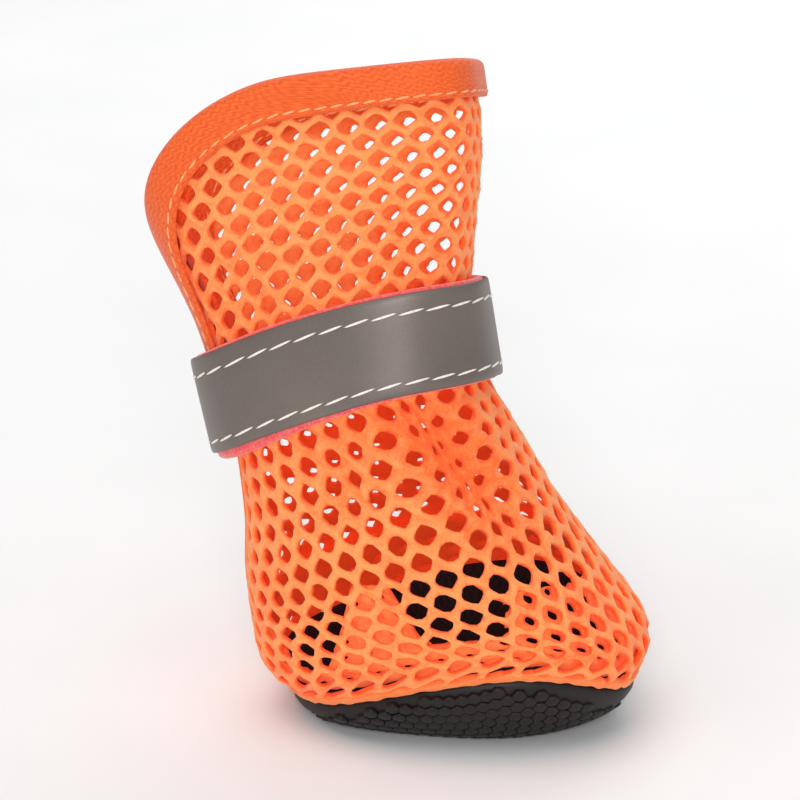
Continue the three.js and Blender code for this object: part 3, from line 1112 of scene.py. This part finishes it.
def solePads():
    bpy.ops.object.select_all(action="DESELECT")
    bpy.ops.mesh.primitive_cylinder_add(
        vertices=6, radius=sole["padWide"] / math.sqrt(3), depth=sole["padDepth"]
    )
    pattern = bpy.context.object
    applyModifier(pattern, "BEVEL", width=sole["padBevel"], segments=2, limit_method="NONE")
    turns = np.linspace(-math.pi, math.pi, 361)
    seam = middlePoint(turns, 0)
    heading = np.unwrap(np.arctan2(seam[:, 1], seam[:, 0]))
    count = int(sole["padReach"] / sole["padPitch"])
    i, j = np.meshgrid(np.arange(-count, count + 1), np.arange(-count, count + 1))
    x = (i + (j % 2) / 2).ravel() * sole["padPitch"]
    y = j.ravel() * sole["padPitch"] * math.sqrt(3) / 2
    angle = np.arctan2(y, x)
    turn = np.interp(angle, heading, turns)
    reach = np.hypot(x, y)
    rings = np.linspace(0.001, 1, 80)
    surface = -(sole["thick"] / 2 - sole["padHigh"])
    meridian = solePoint(turn[:, None], rings[None, :], surface)
    steps = np.linalg.norm(np.diff(meridian, axis=1), axis=2)
    lengths = np.concatenate([np.zeros((len(turn), 1)), np.cumsum(steps, 1)], 1)
    ring = np.array([np.interp(r, row, rings) for r, row in zip(reach, lengths)])
    bare = sole["rimBare"] + sole["endBare"] * np.cos(turn) ** 2
    kept = reach < lengths[:, -1] - bare
    turn, ring, angle = turn[kept], ring[kept], angle[kept, None]
    out = -soleUp(turn, ring)
    step = probe["ring"] / 2
    run = unit(solePoint(turn, ring + step, surface) - solePoint(turn, ring - step, surface))
    side = np.cross(out, run)
    right = unit(run * np.cos(angle) + side * np.sin(angle))
    forward = np.cross(out, right)
    axes = np.stack([right, forward, out], 1)
    toRim = (lengths[:, -1] - reach)[kept]
    sink = sole["padSink"] * (1 - smoothStep(toRim, 0, sole["sinkWithin"]))
    origins = solePoint(turn, ring, surface) - out * sink[:, None]
    return copyToPlaces("sole_pads", pattern, origins, axes)


def insoleDish():
    thick = footbedSize["thick"]
    offset = sole["thick"] / 2 + boot["clear"] + thick / 2
    rings = np.linspace(0, footbedSize["lastRing"], sole["rings"])
    inner = -footbedSize["room"] - thick / 2
    return dishGrid(
        "cloth_insole", rings, offset, lambda turn: wallPoint(turn, footbedSize["edge"], inner), thick
    )


dress(outsoleDish(), rubber, "rubber", "outsole")
dress(solePads(), rubber, "rubber")
dress(insoleDish(), footbed, "insole_cloth", "insole")
print("stage: sole")

# Floor, light and camera
studio = {
    "azimuth": 12,
    "elevation": 20,
    "distance": 0.75,
    "target": (-0.010, 0, 0.050),
    "window": 0.1217,
    "sensor": 36,
    "floor": "#F9FAFA",
    "floorPale": "#FFFFFF",
    "floorSize": 6,
    "fibre": 40,
    "world": 0.4,
}
lights = {
    "overhead_softbox": {"place": (-0.15, -0.25, 0.9), "size": 0.8, "power": 3.2},
    "front_panel": {"place": (0.19, -1.0, 0.44), "size": 0.3, "power": 4.5},
    "far_floor_light": {"place": (0, 0.5, 0.45), "size": 0.5, "power": 1.25, "target": (0, 0.4, 0)},
}


def paleFloor():
    bpy.ops.object.select_all(action="DESELECT")
    bpy.ops.mesh.primitive_plane_add(size=studio["floorSize"], location=(0, 0, 0))
    piece = bpy.context.object
    piece.name = "studio_floor"
    material, shader = newMaterial("matt_paper", Roughness=0.9)
    place = addNode(material, "ShaderNodeTexCoord", {}, {}).outputs["Object"]
    fibre = addNode(
        material, "ShaderNodeTexNoise", {},
        {"Vector": place, "Scale": perMetre(studio["fibre"]), "Detail": 3},
    )
    shade = colourRange(material, fibre.outputs["Fac"], (0.2, studio["floor"]), (0.8, studio["floorPale"]))
    material.node_tree.links.new(shade, shader.inputs["Base Color"])
    piece.data.materials.append(material)


def aim(thing, place, target):
    thing.location = place
    thing.rotation_euler = (Vector(target) - Vector(place)).to_track_quat("-Z", "Y").to_euler()


def softLights():
    for name, light in lights.items():
        bpy.ops.object.light_add(type="AREA")
        lamp = bpy.context.object
        lamp.name = name
        lamp.data.energy = light["power"]
        lamp.data.size = light["size"]
        aim(lamp, light["place"], light.get("target", studio["target"]))
    world = bpy.data.worlds.new("studio_white")
    world.use_nodes = True
    world.node_tree.nodes["Background"].inputs["Color"].default_value = (1, 1, 1, 1)
    world.node_tree.nodes["Background"].inputs["Strength"].default_value = studio["world"]
    bpy.context.scene.world = world
    bpy.context.scene.view_settings.view_transform = "Standard"


def photoCamera():
    a, e = math.radians(studio["azimuth"]), math.radians(studio["elevation"])
    back = Vector((math.sin(a) * math.cos(e), -math.cos(a) * math.cos(e), math.sin(e)))
    bpy.ops.object.camera_add()
    camera = bpy.context.object
    camera.name = "photo_camera"
    aim(camera, Vector(studio["target"]) + back * studio["distance"], studio["target"])
    camera.data.sensor_width = studio["sensor"]
    camera.data.lens = studio["sensor"] * studio["distance"] / studio["window"]
    camera.data.clip_start = 0.01
    bpy.context.scene.camera = camera


paleFloor()
softLights()
photoCamera()
print("stage: studio")
